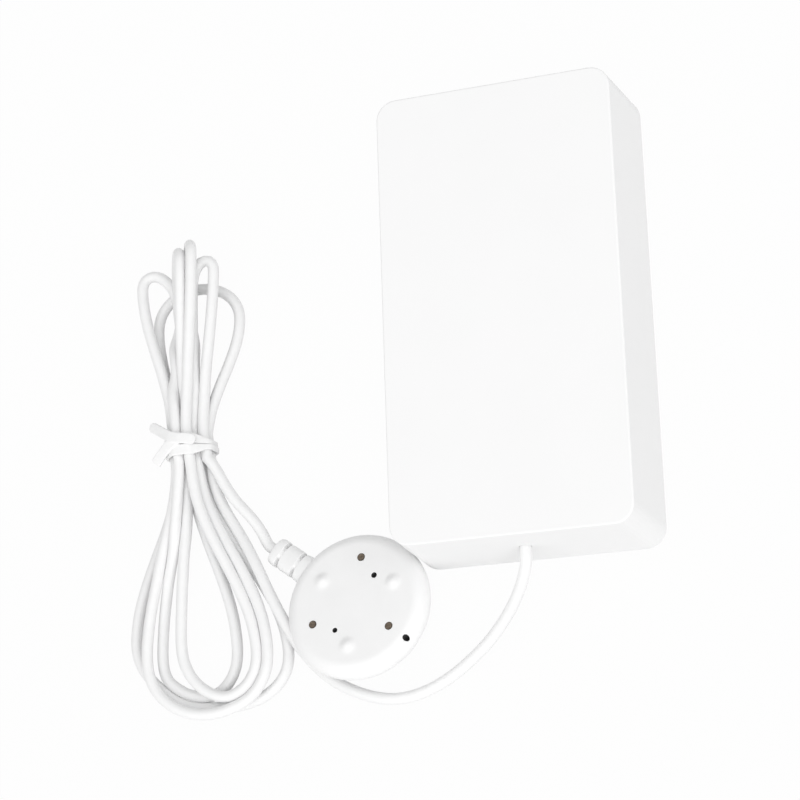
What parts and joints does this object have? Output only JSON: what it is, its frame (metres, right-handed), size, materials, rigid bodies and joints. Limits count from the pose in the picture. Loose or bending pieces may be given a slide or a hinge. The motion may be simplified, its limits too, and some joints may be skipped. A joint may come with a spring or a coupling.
{
  "type": "water leak detector",
  "caption": "Battery wall case with a test button and sounder, and a flat round contact probe on a long thin cable tied in a hank",
  "frame": {"origin": "middle of the case's back face, on the surface it lies on", "axes": "+X across the case, +Y along the case away from the cable's hole, +Z from the case's back to its front"},
  "size_m": [0.1359, 0.1426, 0.026],
  "materials": {
    "case_plastic": "fine matte white",
    "cover_plastic": "fine matte white",
    "screw_steel": "zinc plated",
    "cell_wrap": "glossy sleeve",
    "contact_metal": "nickel plated",
    "board_green": "solder mask",
    "chip_black": "moulded package",
    "chip_tan": "ceramic",
    "can_metal": "drawn can",
    "antenna_wire": "bare wire",
    "led_clear": "clear resin",
    "button_plastic": "fine matte",
    "stem_red": "moulded",
    "header_cream": "moulded nylon",
    "cable_white": "satin jacket",
    "core_red": "satin sleeve",
    "probe_white": "satin overmould",
    "probe_metal": "dull bronze",
    "tie_white": "smooth strip"
  },
  "bodies": {
    "case": {"front_housing": "case_plastic", "rear_cover": "cover_plastic", "cover_screws": "screw_steel", "battery_cell_1": "cell_wrap", "battery_cell_2": "cell_wrap", "battery_cell_3": "cell_wrap", "battery_springs": "contact_metal", "contact_plates": "contact_metal", "main_board": "board_green", "board_screws": "screw_steel", "board_chips": "chip_black", "board_passives": "chip_tan", "crystal": "can_metal", "capacitor": "chip_black", "radio_module": "board_green", "radio_shield": "can_metal", "antenna": "antenna_wire", "status_led": "led_clear", "sounder": "chip_black", "test_switch": "chip_black", "cable_header": "header_cream", "cable_plug": "header_cream", "cable_clamp": "cover_plastic", "clamp_screws": "screw_steel", "lead_tail": "cable_white", "lead_cores": "core_red", "probe_body": "probe_white", "probe_board": "board_green", "probe_contacts": "probe_metal", "probe_tail": "cable_white", "probe_cores": "core_red", "box_lead": "cable_white", "cord_hank": "cable_white", "probe_lead": "cable_white", "cord_tie": "tie_white"},
    "door": {"battery_door": "cover_plastic"},
    "button": {"test_button": "button_plastic", "switch_stem": "stem_red"}
  },
  "joints": [
    {"name": "battery_door_hinge", "type": "hinge", "parent": "case", "child": "door", "pos_m": [0, 0.0238, 0.0011], "axis": [1, 0, 0], "range_deg": [0, 90]},
    {"name": "test_button_press", "type": "slide", "parent": "case", "child": "button", "axis": [0, 0, 1], "range_m": [0, 0.0004], "stiffness_N_per_m": 2000, "springref_m": -0.0004}
  ]
}
